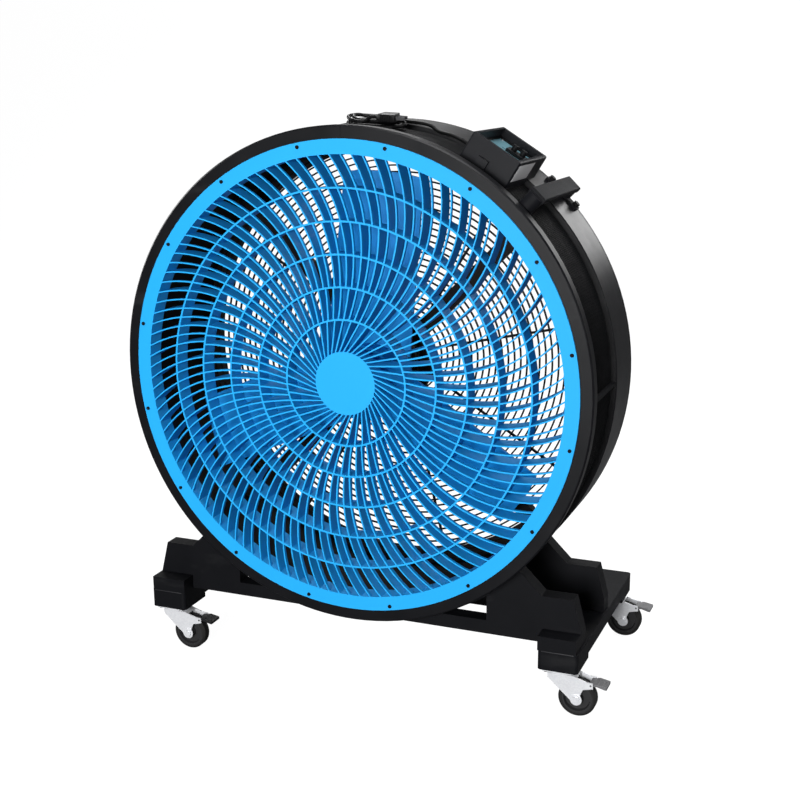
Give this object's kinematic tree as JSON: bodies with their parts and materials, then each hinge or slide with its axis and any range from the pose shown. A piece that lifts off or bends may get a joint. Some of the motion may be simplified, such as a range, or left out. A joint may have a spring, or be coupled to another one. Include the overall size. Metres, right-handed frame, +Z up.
{
  "type": "industrial drum fan",
  "caption": "Round drum fan with a swirl-ribbed front grille, pitched blades, a wheeled cradle base with braked swivel casters, a carry handle and a control box.",
  "frame": {"origin": "on the floor under the drum's axis, at the middle of the base's depth", "axes": "+X to the right seen from the front, +Y to the back so that the air leaves towards -Y, +Z up"},
  "size_m": [1.015, 0.472, 1.1397],
  "materials": {
    "drum_plastic": "satin moulded plastic",
    "azure_plastic": "smooth moulded plastic",
    "black_metal": "black powder coat",
    "steel": "plain",
    "black_plastic": "fine grain",
    "panel_teal": "smooth",
    "knob_plastic": "smooth",
    "cord_rubber": "matt",
    "pin_brass": "plain",
    "zinc_steel": "zinc plated",
    "tyre_rubber": "matt",
    "hub_plastic": "smooth",
    "pedal_plastic": "ribbed tread"
  },
  "bodies": {
    "frame": {"drum_shell": "drum_plastic", "front_ring": "drum_plastic", "rear_ring": "drum_plastic", "front_grille": "azure_plastic", "rear_guard": "black_metal", "motor_bracket": "black_metal", "motor_housing": "black_metal", "motor_front_cap": "black_metal", "motor_rear_cap": "black_metal", "front_bearing": "steel", "rear_bearing": "steel", "grille_screws": "steel", "handle_bolts": "steel", "base_bolts": "steel", "caster_screws": "steel", "control_housing": "black_plastic", "control_bracket": "black_plastic", "carry_handle": "black_plastic", "left_foot": "black_plastic", "right_foot": "black_plastic", "front_cradle": "black_plastic", "rear_cradle": "black_plastic", "control_panel": "panel_teal", "control_module": "knob_plastic", "cord_gland": "cord_rubber", "cord_lead": "cord_rubber", "cord_hank": "cord_rubber", "plug_body": "cord_rubber", "plug_pins": "pin_brass", "caster_plates": "zinc_steel"},
    "fan": {"motor_shaft": "steel", "fan_hub": "azure_plastic", "hub_nut": "steel", "blade_1": "azure_plastic", "blade_2": "azure_plastic", "blade_3": "azure_plastic"},
    "speed_knob": {"speed_knob": "knob_plastic"},
    "timer_knob": {"timer_knob": "knob_plastic"},
    "swivel_front_left": {"fork_front_left": "zinc_steel", "axle_front_left": "zinc_steel"},
    "wheel_front_left": {"tyre_front_left": "tyre_rubber", "wheel_hub_front_left": "hub_plastic"},
    "pedal_front_left": {"brake_pedal_front_left": "pedal_plastic"},
    "swivel_front_right": {"fork_front_right": "zinc_steel", "axle_front_right": "zinc_steel"},
    "wheel_front_right": {"tyre_front_right": "tyre_rubber", "wheel_hub_front_right": "hub_plastic"},
    "pedal_front_right": {"brake_pedal_front_right": "pedal_plastic"},
    "swivel_rear_left": {"fork_rear_left": "zinc_steel", "axle_rear_left": "zinc_steel"},
    "wheel_rear_left": {"tyre_rear_left": "tyre_rubber", "wheel_hub_rear_left": "hub_plastic"},
    "pedal_rear_left": {"brake_pedal_rear_left": "pedal_plastic"},
    "swivel_rear_right": {"fork_rear_right": "zinc_steel", "axle_rear_right": "zinc_steel"},
    "wheel_rear_right": {"tyre_rear_right": "tyre_rubber", "wheel_hub_rear_right": "hub_plastic"},
    "pedal_rear_right": {"brake_pedal_rear_right": "pedal_plastic"}
  },
  "joints": [
    {"name": "fan_spin", "type": "hinge", "parent": "frame", "child": "fan", "pos_m": [0, -0.13, 0.63], "axis": [0, 1, 0], "continuous": true},
    {"name": "speed_knob_turn", "type": "hinge", "parent": "frame", "child": "speed_knob", "pos_m": [0.28162, -0.072, 1.06716], "axis": [0.5336, 0, 0.8457], "range_deg": [0, 270]},
    {"name": "timer_knob_turn", "type": "hinge", "parent": "frame", "child": "timer_knob", "pos_m": [0.29769, -0.072, 1.05703], "axis": [0.5336, 0, 0.8457], "range_deg": [0, 270]},
    {"name": "front_left_swivel", "type": "hinge", "parent": "frame", "child": "swivel_front_left", "pos_m": [-0.43, -0.2, 0.085], "axis": [0, 0, 1], "continuous": true},
    {"name": "front_left_roll", "type": "hinge", "parent": "swivel_front_left", "child": "wheel_front_left", "pos_m": [-0.394, -0.2, 0.0375], "axis": [0, 1, 0], "continuous": true},
    {"name": "front_left_brake", "type": "hinge", "parent": "swivel_front_left", "child": "pedal_front_left", "pos_m": [-0.366, -0.2, 0.071], "axis": [0, 1, 0], "range_deg": [0, 14]},
    {"name": "front_right_swivel", "type": "hinge", "parent": "frame", "child": "swivel_front_right", "pos_m": [0.43, -0.2, 0.085], "axis": [0, 0, 1], "continuous": true},
    {"name": "front_right_roll", "type": "hinge", "parent": "swivel_front_right", "child": "wheel_front_right", "pos_m": [0.466, -0.2, 0.0375], "axis": [0, 1, 0], "continuous": true},
    {"name": "front_right_brake", "type": "hinge", "parent": "swivel_front_right", "child": "pedal_front_right", "pos_m": [0.494, -0.2, 0.071], "axis": [0, 1, 0], "range_deg": [0, 14]},
    {"name": "rear_left_swivel", "type": "hinge", "parent": "frame", "child": "swivel_rear_left", "pos_m": [-0.43, 0.2, 0.085], "axis": [0, 0, 1], "continuous": true},
    {"name": "rear_left_roll", "type": "hinge", "parent": "swivel_rear_left", "child": "wheel_rear_left", "pos_m": [-0.394, 0.2, 0.0375], "axis": [0, 1, 0], "continuous": true},
    {"name": "rear_left_brake", "type": "hinge", "parent": "swivel_rear_left", "child": "pedal_rear_left", "pos_m": [-0.366, 0.2, 0.071], "axis": [0, 1, 0], "range_deg": [0, 14]},
    {"name": "rear_right_swivel", "type": "hinge", "parent": "frame", "child": "swivel_rear_right", "pos_m": [0.43, 0.2, 0.085], "axis": [0, 0, 1], "continuous": true},
    {"name": "rear_right_roll", "type": "hinge", "parent": "swivel_rear_right", "child": "wheel_rear_right", "pos_m": [0.466, 0.2, 0.0375], "axis": [0, 1, 0], "continuous": true},
    {"name": "rear_right_brake", "type": "hinge", "parent": "swivel_rear_right", "child": "pedal_rear_right", "pos_m": [0.494, 0.2, 0.071], "axis": [0, 1, 0], "range_deg": [0, 14]}
  ]
}
